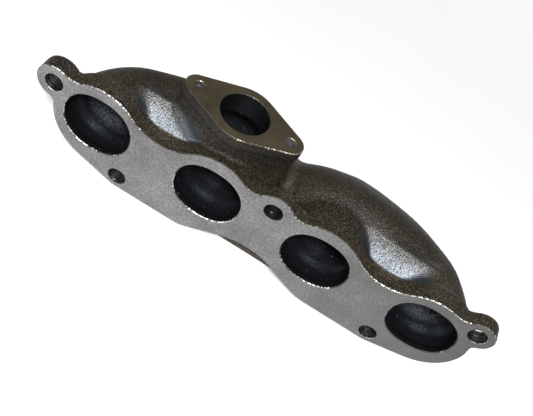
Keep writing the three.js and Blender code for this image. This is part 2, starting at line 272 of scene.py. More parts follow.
def head_flange_circles():
    """The circles that the head flange's outline wraps around, from its lower left boss."""
    radii = (OUTER_LOBE, INNER_LOBE, INNER_LOBE, OUTER_LOBE)
    lobes = [circle(x, 0, r) for x, r in zip(PORTS, radii)]
    foot_x, foot_z, foot_radius = FOOT
    lower = [
        circle(*STUDS["lower_left"], LOWER_BOSS),
        circle(-foot_x, foot_z, foot_radius),
        circle(*WAIST),
        circle(foot_x, foot_z, foot_radius),
        circle(*STUDS["lower_right"], LOWER_BOSS),
    ]
    upper = [
        circle(*RIGHT_END),
        circle(*STUDS["right_ear"], RIGHT_EAR_RADIUS),
        lobes[3],
        lobes[2],
        circle(*STUDS["centre"], CENTRE_LOBE),
        lobes[1],
        lobes[0],
        circle(*STUDS["left_ear"], LEFT_EAR_RADIUS),
        circle(*LEFT_END),
    ]
    outline = lower + upper[:1]
    for start, end, hollow in zip(upper, upper[1:], UPPER_HOLLOWS):
        outline += [fillet(start, end, hollow), end]
    return outline


WASTEGATE_BOLTS = [opening_mm(f"wastegate_bolt_{side}")[[X, Y]] for side in ("left", "right")]
TURBO_BOLTS = [opening_mm(f"turbo_bolt_{number}")[[X, Y]] for number in (1, 2, 3, 4)]
WASTEGATE_BORE = opening_mm("wastegate_bore")[[X, Y]]
TURBO_MIDDLE = opening_mm("turbo_port")[[X, Y]]
TURBO_CORNER = TURBO_BOLTS[0][X] - TURBO_LOW[X]  # radius of the turbo flange's corners


def wastegate_circles():
    """The circles of the two-bolt wastegate outline."""
    left, right = WASTEGATE_BOLTS
    ear = left[X] - WASTEGATE_LOW[X]
    middle = circle(*WASTEGATE_BORE, (WASTEGATE_HIGH[Y] - WASTEGATE_LOW[Y]) / 2)
    return [circle(*right, ear), middle, circle(*left, ear), middle]


def rectangle_circles(span_x, span_y, r):
    """The corner circles of a rounded rectangle about the middle of the turbo port."""
    x, y = TURBO_MIDDLE
    corners = ((1, -1), (1, 1), (-1, 1), (-1, -1))
    return [circle(x + i * (span_x / 2 - r), y + j * (span_y / 2 - r), r) for i, j in corners]


# ---- The distance field ----


def catmull_rom(points, steps):
    """Points along a centripetal Catmull-Rom curve, evenly spaced in length."""
    points = np.array(points, float)
    padded = np.vstack([2 * points[0] - points[1], points, 2 * points[-1] - points[-2]])
    fine = []
    for p0, p1, p2, p3 in zip(padded, padded[1:], padded[2:], padded[3:]):
        spans = [math.sqrt(np.linalg.norm(b - a)) for a, b in ((p0, p1), (p1, p2), (p2, p3))]
        t0, t1, t2, t3 = np.cumsum([0] + spans)
        for t in np.linspace(t1, t2, CURVE_STEPS, endpoint=False):
            a1 = (p0 * (t1 - t) + p1 * (t - t0)) / (t1 - t0)
            a2 = (p1 * (t2 - t) + p2 * (t - t1)) / (t2 - t1)
            a3 = (p2 * (t3 - t) + p3 * (t - t2)) / (t3 - t2)
            b1 = (a1 * (t2 - t) + a2 * (t - t0)) / (t2 - t0)
            b2 = (a2 * (t3 - t) + a3 * (t - t1)) / (t3 - t1)
            fine.append((b1 * (t2 - t) + b2 * (t - t1)) / (t2 - t1))
    fine.append(points[-1])
    fine = np.array(fine)
    length = np.concatenate([[0], np.cumsum(np.linalg.norm(np.diff(fine, axis=0), axis=1))])
    wanted = np.linspace(0, length[-1], steps + 1)
    return np.stack([np.interp(wanted, length, fine[:, axis]) for axis in range(3)], axis=1)


def smoothstep(value):
    """Zero below 0, one above 1, and a smooth rise between."""
    value = np.clip(value, 0, 1)
    return value * value * (3 - 2 * value)


def union(a, b, blend):
    """Both shapes, with a fillet of about the size of blend where they meet."""
    share = np.clip(0.5 + 0.5 * (b - a) / blend, 0, 1)
    return b + (a - b) * share - blend * share * (1 - share)


def cut(a, b, blend):
    """The first shape without the second, with the edge between them rounded."""
    return -union(-a, b, blend)


class Grid:
    """A block of sample points around the part, in millimetres, the same on both sides of X = 0."""

    def __init__(self):
        low, high = (np.array(corner) / MM for corner in cad_bounds)
        reach = max(-low[X], high[X])
        margin = 4 * VOXEL
        count = math.ceil((reach + margin) / VOXEL)
        self.origin = np.array([-count * VOXEL, low[Y] - margin, low[Z] - margin])
        across = [math.ceil((high[a] + margin - self.origin[a]) / VOXEL) + 1 for a in (Y, Z)]
        self.shape = (2 * count + 1, *across)
        axes = [self.origin[a] + VOXEL * np.arange(self.shape[a]) for a in range(3)]
        self.axes = [axis.astype(np.float32) for axis in axes]

    def near(self, low, high):
        """Slices and open coordinate arrays of the samples between two corners."""
        slices = tuple(slice(*np.searchsorted(self.axes[a], (low[a], high[a]))) for a in range(3))
        return slices, np.ix_(*(self.axes[a][slices[a]] for a in range(3)))

    def everywhere(self):
        """Open coordinate arrays of all the samples."""
        return np.ix_(*self.axes)


grid = Grid()


def tube(points, radii):
    """Distance to a round tube along points, whose radius changes from point to point."""
    field = np.full(grid.shape, REACH, np.float32)
    for a, b, ra, rb in zip(points, points[1:], radii, radii[1:]):
        around = max(ra, rb) + REACH
        slices, (x, y, z) = grid.near(np.minimum(a, b) - around, np.maximum(a, b) + around)
        dx, dy, dz = (b - a).astype(np.float32)
        px, py, pz = x - np.float32(a[0]), y - np.float32(a[1]), z - np.float32(a[2])
        along = np.clip((px * dx + py * dy + pz * dz) / np.float32(dx * dx + dy * dy + dz * dz), 0, 1)
        away = np.sqrt((px - along * dx) ** 2 + (py - along * dy) ** 2 + (pz - along * dz) ** 2)
        found = away - (ra + along * (rb - ra)).astype(np.float32)
        field[slices] = np.minimum(field[slices], found)
    return field


def outline_distance(outline, us, vs):
    """Signed distance from each point of a flat grid to an outline, negative inside."""
    u, v = np.meshgrid(us, vs, indexing="ij")
    best = np.full(u.shape, np.inf)
    inside = np.zeros(u.shape, bool)
    for (au, av), (bu, bv) in zip(outline, np.roll(outline, -1, axis=0)):
        du, dv = bu - au, bv - av
        along = np.clip(((u - au) * du + (v - av) * dv) / (du * du + dv * dv), 0, 1)
        best = np.minimum(best, (u - au - along * du) ** 2 + (v - av - along * dv) ** 2)
        crosses = (av > v) != (bv > v)
        inside ^= crosses & (u < au + (v - av) * du / (dv if dv else 1.0))
    return (np.sqrt(best) * np.where(inside, -1, 1)).astype(np.float32)


def prism(flat, height, low, high, edge):
    """Distance to a prism: flat is its outline's distance, and edge rounds its two ends."""
    ends = np.maximum(low - height, height - high) + edge
    sides = flat + edge
    inside = np.minimum(np.maximum(sides, ends), 0)
    outside = np.hypot(np.maximum(sides, 0), np.maximum(ends, 0))
    return inside + outside - edge


def standing_prism(outline, low, high, edge=0.5):
    """An outline in X and Y between two heights."""
    flat = outline_distance(outline, grid.axes[X], grid.axes[Y])[:, :, None]
    return prism(flat, grid.axes[Z][None, None, :], low, high, edge)


def facing_prism(outline, front, back, edge=0.5):
    """An outline in X and Z between two distances from the head face."""
    flat = outline_distance(outline, grid.axes[X], grid.axes[Z])[:, None, :]
    return prism(flat, grid.axes[Y][None, :, None], front, back, edge)


def mirrored(field):
    """The same field on the other side of X = 0."""
    return field[::-1]


def runner_route():
    """The centreline of the runner from port 4 to the collector."""
    return catmull_rom(
        [
            (OUTER_PORT, -2, 0),
            (OUTER_PORT, 8, 0),
            (OUTER_PORT - 12, SETBACK - 12, 3),
            (OUTER_PORT - 38, SETBACK - 1, 8),
            (OUTER_PORT - 63, SETBACK, CREST - 2),
            (INNER_PORT + 3, SETBACK, CREST),
            (INNER_PORT - 20, SETBACK + 0.5, CREST - 6.5),
            (12, SETBACK + 4, -6),
            (7, TURBO_MIDDLE[1], -38),
        ],
        RUNNER_STEPS,
    )


def stub_route():
    """The centreline of the stub behind port 3."""
    return catmull_rom(
        [
            (INNER_PORT, -2, 0),
            (INNER_PORT, 12, 0),
            (INNER_PORT, 30, 5),
            (INNER_PORT, SETBACK, CREST - 1),
        ],
        STUB_STEPS,
    )


def tubes(port_wall, wall, blend):
    """The runner and the stub on the right, as thick walls around the gas in them."""
    start = (PORT_HALF_WIDTH + PORT_HALF_HEIGHT) / 2 + port_wall
    share = smoothstep(np.linspace(0, 1, RUNNER_STEPS + 1) / NARROWING)
    runner = tube(runner_route(), start * (1 - share) + (RUNNER_RADIUS + wall) * share)
    share = smoothstep(np.linspace(0, 1, STUB_STEPS + 1))
    stub = tube(stub_route(), start * (1 - share) + (STUB_END_RADIUS + wall) * share)
    return union(runner, stub, blend)


def valley_webs():
    """The webs that fill the valleys between an outer and an inner port."""
    outline = np.array(WEB_SECTION, float)
    flat = outline_distance(outline, grid.axes[Y], grid.axes[Z])[None, :, :]
    along = np.abs(grid.everywhere()[X])
    middle = (INNER_PORT + OUTER_PORT) / 2
    return prism(flat, along, middle - WEB_HALF_LENGTH, middle + WEB_HALF_LENGTH, 0.5)


def hump(x_middle, radius, depth):
    """The lobe of an inner or outer port, carried straight back, trimmed from below."""
    y, z = grid.everywhere()[Y:]
    lobe = facing_prism(round_hole(x_middle, 0, radius), 0, depth, HUMP_EDGE)
    start, slope = HUMP_UNDERSIDE
    above = (z - start - slope * (y - FLANGE_BACK)) / math.hypot(1, slope)
    return cut(lobe, above, HUMP_UNDERSIDE_EDGE)


def runners_field():
    """Distance to the runners, the stubs, the webs and the wastegate neck, behind the flange."""
    right = union(tubes(PORT_WALL, WALL, CREASE), valley_webs(), WEB_FILLET)
    both = union(right, mirrored(right), CENTRE_VALLEY)
    outline = belt(wastegate_circles(), NECK_INSET)
    neck = standing_prism(outline, CREST + OVERLAP, WASTEGATE_HIGH[Z])
    return np.maximum(union(both, neck, NECK_FLARE), FIELD_FRONT - grid.everywhere()[Y])


def head_flange_field():
    """Distance to the head flange, the pad behind its left ear, and the humps behind its lobes."""
    inner = hump(INNER_PORT, INNER_LOBE, INNER_HUMP_DEPTH)
    outer = hump(OUTER_PORT, OUTER_LOBE, OUTER_HUMP_DEPTH)
    humps = np.minimum(inner, outer)
    slab = facing_prism(belt(head_flange_circles()), -OVERLAP, FLANGE_BACK, SLAB_EDGE)
    ear = round_hole(*STUDS["left_ear"], LEFT_EAR_RADIUS)
    pad = facing_prism(ear, OVERLAP, FLANGE_BACK + EAR_PAD, SLAB_EDGE)
    return np.minimum.reduce([slab, pad, humps, mirrored(humps)])


def turbo_fields():
    """Distances to the turbo neck and to the flange below it."""
    span_x, span_y, corner = TURBO_PORT
    outline = rectangle_circles(span_x + 2 * WALL, span_y + 2 * WALL, corner + WALL)
    neck = standing_prism(belt(outline), TURBO_LOW[Z] + TURBO_NECK_START, TURBO_NECK_TOP)
    spans = TURBO_HIGH - TURBO_LOW
    outline = rectangle_circles(spans[X], spans[Y], TURBO_CORNER)
    flange = standing_prism(belt(outline), TURBO_LOW[Z] - OVERLAP, TURBO_HIGH[Z], CAST_EDGE)
    return neck, flange


def iron_field():
    """Distance to the outside of the casting, as if it were solid."""
    body = union(runners_field(), head_flange_field(), CREASE)
    outline = round_hole(*STUDS["centre"], CENTRE_BOSS_RADIUS)
    boss = facing_prism(outline, OVERLAP, box_mm("centre_stud_boss")[1][Y], CAST_EDGE)
    body = union(body, boss, FLANGE_FILLET)
    low, high = WASTEGATE_LOW[Z], WASTEGATE_HIGH[Z] + OVERLAP
    upper_flange = standing_prism(belt(wastegate_circles()), low, high, CAST_EDGE)
    body = union(body, upper_flange, WASTEGATE_FILLET)
    turbo_neck, turbo_flange = turbo_fields()
    return union(union(body, turbo_neck, TURBO_NECK_FILLET), turbo_flange, FLANGE_FILLET)


def passage_field():
    """Distance to the gas passages."""
    gas = np.maximum(tubes(0, 0, PASSAGE_FILLET), FIELD_FRONT - grid.everywhere()[Y])
    for x in (INNER_PORT, OUTER_PORT):
        port = facing_prism(port_hole(x), -FAR, FLANGE_BACK + PORT_FLARE, PASSAGE_FILLET)
        gas = union(gas, port, PORT_FLARE)
    gas = union(gas, mirrored(gas), PASSAGE_FILLET)
    bore = standing_prism(round_hole(*WASTEGATE_BORE, WASTEGATE_BORE_RADIUS), CREST, FAR)
    turbo = standing_prism(belt(rectangle_circles(*TURBO_PORT)), -FAR, TURBO_PORT_TOP)
    return union(union(gas, bore, BORE_FILLET), turbo, PASSAGE_FILLET)


def fastener_field():
    """Distance to the holes for studs and bolts."""
    holes = []
    for place in STUDS.values():
        holes.append(facing_prism(round_hole(*place, STUD_HOLE_RADIUS), -FAR, STUD_HOLE_DEPTH))
    for place in WASTEGATE_BOLTS:
        low = WASTEGATE_HIGH[Z] - WASTEGATE_BOLT_DEPTH
        holes.append(standing_prism(round_hole(*place, WASTEGATE_BOLT_RADIUS), low, FAR))
    for place in TURBO_BOLTS:
        high = TURBO_HIGH[Z] + OVERLAP
        holes.append(standing_prism(round_hole(*place, TURBO_BOLT_RADIUS), -FAR, high))
    return np.minimum.reduce(holes)


def waviness():
    """The slight unevenness of a sand-cast surface, none of it near the machined faces."""
    x, y, z = grid.everywhere()
    waves = np.sin(x / WAVES[X] + 1.3 * np.sin(z / 9.0))
    waves = waves * np.sin(y / WAVES[Y] + 0.5) * np.sin(z / WAVES[Z] + x / 23.0)
    cast = smoothstep((y - 4) / 6)
    cast = cast * smoothstep((WASTEGATE_LOW[Z] - z) / 5) * smoothstep((z - TURBO_HIGH[Z]) / 5)
    return (WAVE_HEIGHT * waves * cast).astype(np.float32)


gas_field = passage_field()
hole_field = fastener_field()
opened_field = cut(iron_field() + waviness(), gas_field, PASSAGE_EDGE)
casting_field = cut(opened_field, hole_field, HOLE_EDGE)
casting_slopes = [slope.astype(np.float32) for slope in np.gradient(casting_field)]

# ---- Meshes ----


def new_mesh(points, faces):
    """A mesh from points in millimetres."""
    mesh = bpy.data.meshes.new("part")
    mesh.from_pydata(np.asarray(points) * MM, [], faces)
    mesh.update()
    return mesh


def skin_mesh():
    """The casting's surface, as one closed mesh."""
    volume = openvdb.FloatGrid(background=3.0)
    volume.copyFromArray(np.ascontiguousarray(casting_field), tolerance=0.0)
    points, quads = volume.convertToQuads(isovalue=0.0)
    points = grid.origin + points * VOXEL
    points[:, X] = np.clip(points[:, X], cad_bounds[0][X] / MM, cad_bounds[1][X] / MM)
    return new_mesh(points, quads.tolist())


def block(low, high):
    """A box between two corners, in millimetres."""
    x0, y0, z0 = low
    x1, y1, z1 = high
    points = [(x, y, z) for x in (x0, x1) for y in (y0, y1) for z in (z0, z1)]
    faces = [(0, 1, 3, 2), (4, 6, 7, 5), (0, 4, 5, 1), (2, 3, 7, 6), (0, 2, 6, 4), (1, 5, 7, 3)]
    return new_mesh(points, faces)


def combined(mesh, other, operation):
    """What a boolean operation makes of two closed meshes. Both are used up."""
    base = bpy.data.objects.new("base", mesh)
    tool = bpy.data.objects.new("tool", other)
    for item in (base, tool):
        bpy.context.scene.collection.objects.link(item)
    modifier = base.modifiers.new("boolean", "BOOLEAN")
    modifier.object = tool
    modifier.operation = operation
    modifier.solver = "MANIFOLD"
    depsgraph = bpy.context.evaluated_depsgraph_get()
    result = bpy.data.meshes.new_from_object(base.evaluated_get(depsgraph))
    for item in (base, tool):
        bpy.data.objects.remove(item)
    return result


def lofted(rings, place):
    """A closed solid through rings of (outline, depth). place turns those into X, Y and Z."""
    count = len(rings[0][0])
    points = np.vstack([place(outline, depth) for outline, depth in rings])
    faces = [list(range(count)), list(range(len(points) - count, len(points)))[::-1]]
    for start in range(0, len(points) - count, count):
        for i in range(count):
            j = (i + 1) % count
            faces.append((start + j, start + i, start + count + i, start + count + j))
    mesh = new_mesh(points, faces)
    work = bmesh.new()
    work.from_mesh(mesh)
    bmesh.ops.recalc_face_normals(work, faces=work.faces)
    work.to_mesh(mesh)
    work.free()
    return mesh


def plate(outline_at, holes, place):
    """
    The machined skin of a flange: FACE_SKIN thick, chamfered around its face and its holes.
    outline_at gives its outline, made larger by a distance. Each of holes is such a function for
    one hole, and the width of that hole's chamfer.
    """
    rings = [(outline_at(-CHAMFER), 0), (outline_at(0), CHAMFER), (outline_at(0), FACE_SKIN)]
    mesh = lofted(rings, place)
    for hole_at, chamfer in holes:
        rings = [
            (hole_at(2 * chamfer), -chamfer),
            (hole_at(0), chamfer),
            (hole_at(0), FACE_SKIN + chamfer),
        ]
        mesh = combined(mesh, lofted(rings, place), "DIFFERENCE")
    return mesh


def facing(outline, depth):
    """Places an outline of X and Z at a depth behind the head face."""
    return np.column_stack([outline[:, 0], np.full(len(outline), depth), outline[:, 1]])


def looking_up(outline, depth):
    """Places an outline of X and Y at a depth below the wastegate face."""
    return np.column_stack([outline, np.full(len(outline), WASTEGATE_HIGH[Z] - depth)])


def looking_down(outline, depth):
    """Places an outline of X and Y at a depth above the turbo face."""
    return np.column_stack([outline, np.full(len(outline), TURBO_LOW[Z] + depth)])


def drilled(places, radius, chamfer=HOLE_CHAMFER):
    """Round holes for plate()."""
    return [(lambda grow, at=at: round_hole(*at, radius + grow), chamfer) for at in places]


@cache
def head_plate():
    """The machined skin of the head flange, with its ports and stud holes."""
    holes = [(lambda grow, x=x: port_hole(x, grow), PORT_CHAMFER) for x in PORTS]
    holes += drilled(STUDS.values(), STUD_HOLE_RADIUS)
    return plate(lambda grow: belt(head_flange_circles(), -grow), holes, facing)


@cache
def wastegate_plate():
    """The machined skin of the wastegate flange, with its bore and bolt holes."""
    holes = drilled([WASTEGATE_BORE], WASTEGATE_BORE_RADIUS, BORE_CHAMFER)
    holes += drilled(WASTEGATE_BOLTS, WASTEGATE_BOLT_RADIUS)
    return plate(lambda grow: belt(wastegate_circles(), -grow), holes, looking_up)


@cache
def turbo_plate():
    """The machined skin of the turbo flange, with its port and bolt holes."""
    spans = TURBO_HIGH - TURBO_LOW

    def rectangle_at(span_x, span_y, corner):
        """What gives the outline of a rounded rectangle, made larger by a distance."""
        return lambda grow: belt(rectangle_circles(span_x + 2 * grow, span_y + 2 * grow, corner + grow))

    holes = [(rectangle_at(*TURBO_PORT), HOLE_CHAMFER)]
    holes += drilled(TURBO_BOLTS, TURBO_BOLT_RADIUS)
    return plate(rectangle_at(spans[X], spans[Y], TURBO_CORNER), holes, looking_down)


# ---- Sections ----


def ranges(x=(-FAR, FAR), y=(-FAR, FAR), z=(-FAR, FAR)):
    """The two corners of a space."""
    return tuple(zip(x, y, z))


def section_spaces():
    """The space that each section of the casting fills, named as in the CAD model."""
    centre = seam("head_flange_centre", "head_flange_3", X)
    flange = seam("head_flange_3", "head_flange_4", X)
    boss = box_mm("port_stub_3")[0][X]
    stub_back = seam("port_stub_3", "branch_3", Y)
    collector = seam("collector", "branch_3", X)
    branch = seam("branch_3", "runner_4", X)
    elbow = seam("runner_4", "elbow_4", X)
    neck = seam("branch_2", "wastegate_neck", Z)
    under = seam("wastegate_neck", "wastegate_flange", Z)
    turbo_neck = seam("turbo_neck", "collector", Z)
    turbo = seam("turbo_flange", "turbo_neck", Z)
    in_flange = {"y": (FACE_SKIN, FLANGE_BACK), "z": (-FAR, neck)}
    behind_flange = {"y": (FLANGE_BACK, stub_back), "z": (turbo, neck)}
    spaces = {
        "head_flange_centre": ranges((-centre, centre), **in_flange),
        "centre_stud_boss": ranges((-boss, boss), **behind_flange),
        "collector": ranges((-collector, collector), (stub_back, FAR), (turbo_neck, neck)),
        "turbo_neck": ranges((-branch, branch), (stub_back, FAR), (turbo, turbo_neck)),
        "turbo_flange": ranges(y=(FLANGE_BACK, FAR), z=(TURBO_LOW[Z] + FACE_SKIN, turbo)),
        "wastegate_neck": ranges(z=(neck, under)),
        "wastegate_flange": ranges(z=(under, WASTEGATE_HIGH[Z] - FACE_SKIN)),
    }
    one_side = {
        "head_flange_3": ranges((centre, flange), **in_flange),
        "head_flange_4": ranges((flange, FAR), **in_flange),
        "port_stub_3": ranges((boss, branch), **behind_flange),
        "port_stub_4": ranges((elbow, FAR), **behind_flange),
        "branch_3": ranges((collector, branch), (stub_back, FAR), (turbo_neck, neck)),
        "runner_4": ranges((branch, elbow), (FLANGE_BACK, FAR), (turbo, neck)),
        "elbow_4": ranges((elbow, FAR), (stub_back, FAR), (turbo, neck)),
    }
    for name, (low, high) in one_side.items():
        part, port = name.rsplit("_", 1)
        other_port = len(PORTS) + 1 - int(port)
        spaces[name] = low, high
        spaces[f"{part}_{other_port}"] = (-high[X], *low[Y:]), (-low[X], *high[Y:])
    return spaces


def sample(values, points):
    """The values of a field at points in millimetres, between its samples."""
    place = np.clip((points - grid.origin) / VOXEL, 0, np.array(grid.shape) - 1.001)
    base = place.astype(int)
    part = place - base
    total = 0.0
    for corner in np.ndindex(2, 2, 2):
        weight = np.prod(np.where(corner, part, 1 - part), axis=1)
        total = total + weight * values[tuple((base + corner).T)]
    return total


def skin_normals(points):
    """The directions in which the casting's field grows at points in millimetres."""
    gradients = np.stack([sample(slope, points) for slope in casting_slopes], axis=1)
    return gradients / np.maximum(np.linalg.norm(gradients, axis=1, keepdims=True), 1e-9)


def read(collection, attribute, kind, width=1):
    """One attribute of every item of a mesh's collection, as a flat array."""
    values = np.zeros(len(collection) * width, kind)
    collection.foreach_get(attribute, values)
    return values


def arrays_of(mesh):
    """Points in millimetres, loop vertices, loops per face, face normals and corner normals."""
    points, faces, corners = (
        read(collection, attribute, np.float32, 3).reshape(-1, 3).astype(float)
        for collection, attribute in (
            (mesh.vertices, "co"),
            (mesh.polygons, "normal"),
            (mesh.corner_normals, "vector"),
        )
    )
    loops = read(mesh.loops, "vertex_index", np.int32)
    totals = read(mesh.polygons, "loop_total", np.int32)
    return points / MM, loops, totals, faces, corners


CAST, BORE, DRILLED, FACE, EDGE = range(5)  # material slots of a section


def wall_kinds(points, loops, totals):
    """The material slot of each face: the wall of a passage or a hole, or else the cast skin."""
    starts = np.cumsum(totals) - totals
    kinds = np.full(len(totals), CAST)
    for field, kind in ((gas_field, BORE), (hole_field, DRILLED)):
        kinds[np.maximum.reduceat(sample(field, points)[loops], starts) < ON_WALL] = kind
    return kinds


def skin_part(mesh, low, high):
    """A section's share of the skin: points, loops, totals, materials and corner normals."""
    points, loops, totals, face_normals, _ = arrays_of(mesh)
    starts = np.cumsum(totals) - totals
    on_cut = np.zeros(len(totals), bool)
    for axis in range(3):
        for plane in (low[axis], high[axis]):
            flat = np.abs(points[loops, axis] - plane) < ON_PLANE
            on_cut |= np.minimum.reduceat(flat, starts)
    on_cut = np.repeat(on_cut, totals)
    corners = skin_normals(points)[loops]
    corners[on_cut] = np.repeat(face_normals, totals, axis=0)[on_cut]
    return points, loops, totals, wall_kinds(points, loops, totals), corners


def plate_part(mesh, toward, face):
    """A section's share of a machined plate. toward is the axis it faces along, face its place."""
    mesh.shade_smooth()
    mesh.set_sharp_from_angle(angle=math.radians(30))
    points, loops, totals, _, corners = arrays_of(mesh)
    depth = np.abs(points[:, toward] - face)
    deepest = np.maximum.reduceat(depth[loops], np.cumsum(totals) - totals)
    kinds = wall_kinds(points, loops, totals)
    kinds[deepest < max(CHAMFER, PORT_CHAMFER) + ON_PLANE] = EDGE
    kinds[deepest < ON_PLANE] = FACE
    return points, loops, totals, kinds, corners


def joined(parts):
    """One mesh out of parts that skin_part() and plate_part() made."""
    points, loops, totals, kinds, corners = (list(arrays) for arrays in zip(*parts))
    first_points = np.cumsum([0] + [len(array) for array in points])
    loops = [array + first for array, first in zip(loops, first_points)]
    arrays = (points, loops, totals, kinds, corners)
    points, loops, totals, kinds, corners = (np.concatenate(array) for array in arrays)
    mesh = bpy.data.meshes.new("part")
    mesh.vertices.add(len(points))
    mesh.vertices.foreach_set("co", (points * MM).astype(np.float32).ravel())
    mesh.loops.add(len(loops))
    mesh.loops.foreach_set("vertex_index", loops)
    mesh.polygons.add(len(totals))
    mesh.polygons.foreach_set("loop_start", np.cumsum(totals) - totals)
    mesh.polygons.foreach_set("material_index", kinds)
    mesh.update()
    mesh.shade_smooth()
    mesh.normals_split_custom_set(corners)
    return mesh


def plated(name):
    """What makes a section's machined plate, the axis it faces along and its place, or None."""
    if name.startswith("head_flange"):
        return head_plate, Y, 0.0
    if name == "wastegate_flange":
        return wastegate_plate, Z, WASTEGATE_HIGH[Z]
    if name == "turbo_flange":
        return turbo_plate, Z, TURBO_LOW[Z]
    return None


# ---- Materials ----


class Nodes:
    """Builds one material, with its shader nodes laid out from left to right."""

    def __init__(self, name):
        self.material = bpy.data.materials.new(name)
        self.material.use_nodes = True
        self.tree = self.material.node_tree
        self.shader = self.tree.nodes["Principled BSDF"]
        self.place = self.add("ShaderNodeTexCoord").outputs["Object"]

    def add(self, kind, **settings):
        """A new node of a kind, with its settings made."""
        node = self.tree.nodes.new(kind)
        node.location = (-200 * len(self.tree.nodes), 0)
        for key, value in settings.items():
            setattr(node, key, value)
        return node

    def link(self, source, target):
        """Feeds an output into an input."""
        self.tree.links.new(source, target)

    def paint(self, name, source):
        """Feeds an output into an input of the shader, by name."""
        self.link(source, self.shader.inputs[name])

    def fix(self, name, value):
        """Sets an input of the shader to a constant, by name."""
        self.shader.inputs[name].default_value = value

    def axes(self):
        """The X, the Y and the Z of a point."""
        node = self.add("ShaderNodeSeparateXYZ")
        self.link(self.place, node.inputs["Vector"])
        return node.outputs

    def from_origin(self):
        """How far a point is from the origin."""
        node = self.add("ShaderNodeVectorMath", operation="LENGTH")
        self.link(self.place, node.inputs["Vector"])
        return node.outputs["Value"]

    def stretched(self, scale):
        """The place of a point, scaled differently along X, Y and Z."""
        node = self.add("ShaderNodeMapping")
        node.inputs["Scale"].default_value = scale
        self.link(self.place, node.inputs["Vector"])
        return node.outputs["Vector"]

    def noise(self, scale, detail=4.0, roughness=0.55, distortion=0.0, place=None):
        """A noise of values around 0.5, whose grain is about 1 / scale metres."""
        node = self.add("ShaderNodeTexNoise")
        self.link(place or self.place, node.inputs["Vector"])
        node.inputs["Scale"].default_value = scale
        node.inputs["Detail"].default_value = detail
        node.inputs["Roughness"].default_value = roughness
        node.inputs["Distortion"].default_value = distortion
        return node.outputs["Fac"]

    def ramp(self, value, low, high, out_low=0.0, out_high=1.0):
        """Value stretched from low-high to out_low-out_high, held at both ends."""
        node = self.add("ShaderNodeMapRange")
        self.link(value, node.inputs["Value"])
        numbers = (("From Min", low), ("From Max", high), ("To Min", out_low), ("To Max", out_high))
        for key, number in numbers:
            node.inputs[key].default_value = number
        return node.outputs["Result"]

    def mix(self, share, first, second):
        """Two colours, each a tuple or a socket, mixed by a share."""
        node = self.add("ShaderNodeMix", data_type="RGBA")
        self.link(share, node.inputs["Factor"])
        for socket, colour in (("A", first), ("B", second)):
            target = next(i for i in node.inputs if i.name == socket and i.type == "RGBA")
            if isinstance(colour, tuple):
                target.default_value = (*colour, 1)
            else:
                self.link(colour, target)
        return next(o for o in node.outputs if o.type == "RGBA")

    def math(self, operation, first, second):
        """Two values, each a number or a socket, put together by an operation."""
        node = self.add("ShaderNodeMath", operation=operation)
        for target, value in zip(node.inputs, (first, second)):
            if isinstance(value, (int, float)):
                target.default_value = value
            else:
                self.link(value, target)
        return node.outputs["Value"]

    def product(self, first, *others):
        """Several values multiplied."""
        for other in others:
            first = self.math("MULTIPLY", first, other)
        return first

    def away(self, value, middle=0.0):
        """How far a value is from a middle, on either side."""
        return self.math("ABSOLUTE", self.math("SUBTRACT", value, middle), 0)

    def bump(self, height, depth, normal=None):
        """A bumped normal, whose height of 1 stands depth metres proud."""
        node = self.add("ShaderNodeBump")
        self.link(height, node.inputs["Height"])
        node.inputs["Strength"].default_value = 1.0
        node.inputs["Distance"].default_value = depth
        if normal:
            self.link(normal, node.inputs["Normal"])
        return node.outputs["Normal"]


def worn_webs(nodes):
    """How far the skin is worn to bare metal: most at the foot of the webs between the ports."""
    x, y, z = nodes.axes()
    from_web = nodes.away(nodes.away(x), WEB_MIDDLE * MM)
    return nodes.product(
        nodes.ramp(from_web, 0.026, 0.042, 1, 0),
        nodes.ramp(y, 0.0120, 0.0132),
        nodes.ramp(y, 0.018, 0.046, 1, 0),
        nodes.ramp(z, 0.035, 0.043, 1, 0),
    )


def painted_shade_under_wastegate(nodes):
    """How much painted shade darkens the skin under the wastegate flange: most just below it, near the
    bore.
    """
    x, _, z = nodes.axes()
    from_bore = nodes.away(x, WASTEGATE_BORE[X] * MM)
    return nodes.product(
        nodes.ramp(z, 0.030, 0.045, 0, 0.6),
        nodes.ramp(from_bore, 0.040, 0.056, 1, 0),
    )


def cast_material():
    """Sand-cast iron: nearly black, with pale brown specks, painted shade under the wastegate flange,
    and worn on the webs.
    """
    nodes = Nodes("sand_cast_iron")
    grain = nodes.noise(850, 2, 0.7)
    blotches = nodes.ramp(nodes.noise(26, 5, 0.6), 0.35, 0.68)
    colour = nodes.mix(blotches, (0.007, 0.006, 0.004), (0.020, 0.016, 0.010))
    dusty = nodes.ramp(nodes.axes()[Y], 0.012, 0.050, 0.65, 0.25)
    specks = nodes.product(nodes.ramp(grain, 0.51, 0.63), dusty)
    colour = nodes.mix(specks, colour, (0.13, 0.105, 0.068))
    # painted shade: the neck under the wastegate flange is darkened where the flange's shadow falls
    colour = nodes.mix(painted_shade_under_wastegate(nodes), colour, (0.004, 0.004, 0.0035))
    worn = worn_webs(nodes)
    bare = nodes.ramp(nodes.math("ADD", grain, nodes.product(worn, 0.30)), 0.63, 0.77)
    metal = nodes.mix(worn, (0.12, 0.098, 0.066), (0.092, 0.102, 0.114))
    nodes.paint("Base Color", nodes.mix(bare, colour, metal))
    nodes.paint("Metallic", nodes.product(bare, 0.9))
    nodes.paint("Roughness", nodes.ramp(worn, 0, 1, 0.50, 0.38))
    nodes.fix("Specular IOR Level", 0.28)
    roughened = nodes.product(grain, nodes.ramp(worn, 0, 1, 1.4, 0.7))
    nodes.paint("Normal", nodes.bump(roughened, 0.0004))
    return nodes.material


